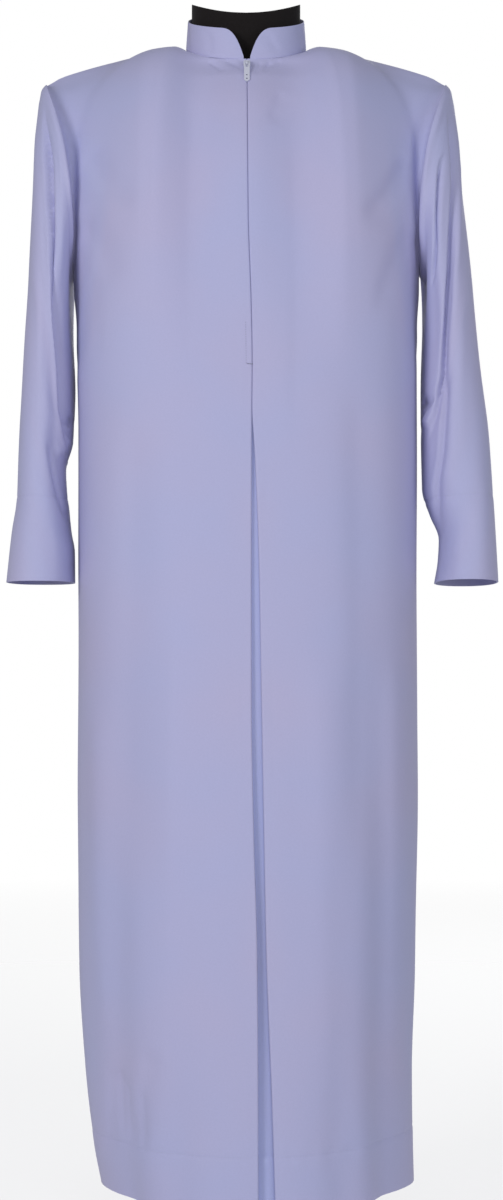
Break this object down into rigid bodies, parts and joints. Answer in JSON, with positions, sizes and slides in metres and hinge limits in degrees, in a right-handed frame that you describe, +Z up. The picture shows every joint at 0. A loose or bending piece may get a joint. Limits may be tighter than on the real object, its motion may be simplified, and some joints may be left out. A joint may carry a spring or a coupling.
{
  "type": "alb on a dress form",
  "caption": "Long white alb with stand collar, concealed front zip, inverted box pleat and plain long sleeves, worn on a smooth limbless dress form with a pole and round base.",
  "frame": {"origin": "centre of the stand's base on the floor", "axes": "+Z up, the garment's front faces -Y, the wearer's left side is at +X"},
  "size_m": [0.5804, 0.4164, 1.5205],
  "materials": {
    "alb_cloth": "smooth close plain-weave polyester cotton, white that reads pale lavender blue, slight sheen",
    "zip_tape": "white woven zip tape",
    "zip_metal": "white enamelled slider and pull tab",
    "form_cover": "matte black jersey cover",
    "stand_metal": "satin black powder coat"
  },
  "bodies": {
    "alb_on_form": {"front_left": "alb_cloth", "front_right": "alb_cloth", "pleat_underlay": "alb_cloth", "back": "alb_cloth", "sleeve_left": "alb_cloth", "sleeve_right": "alb_cloth", "collar": "alb_cloth", "zip_tape": "zip_tape", "zip_slider": "zip_metal", "form_torso": "form_cover", "form_pole": "stand_metal", "form_base": "stand_metal"},
    "pull_tab": {"zip_pull": "zip_metal"}
  },
  "joints": [
    {"name": "pull_tab_swing", "type": "hinge", "parent": "alb_on_form", "child": "pull_tab", "pos_m": [0.0012, -0.07436, 1.42643], "axis": [-1, 0, 0], "range_deg": [0, 150]}
  ]
}
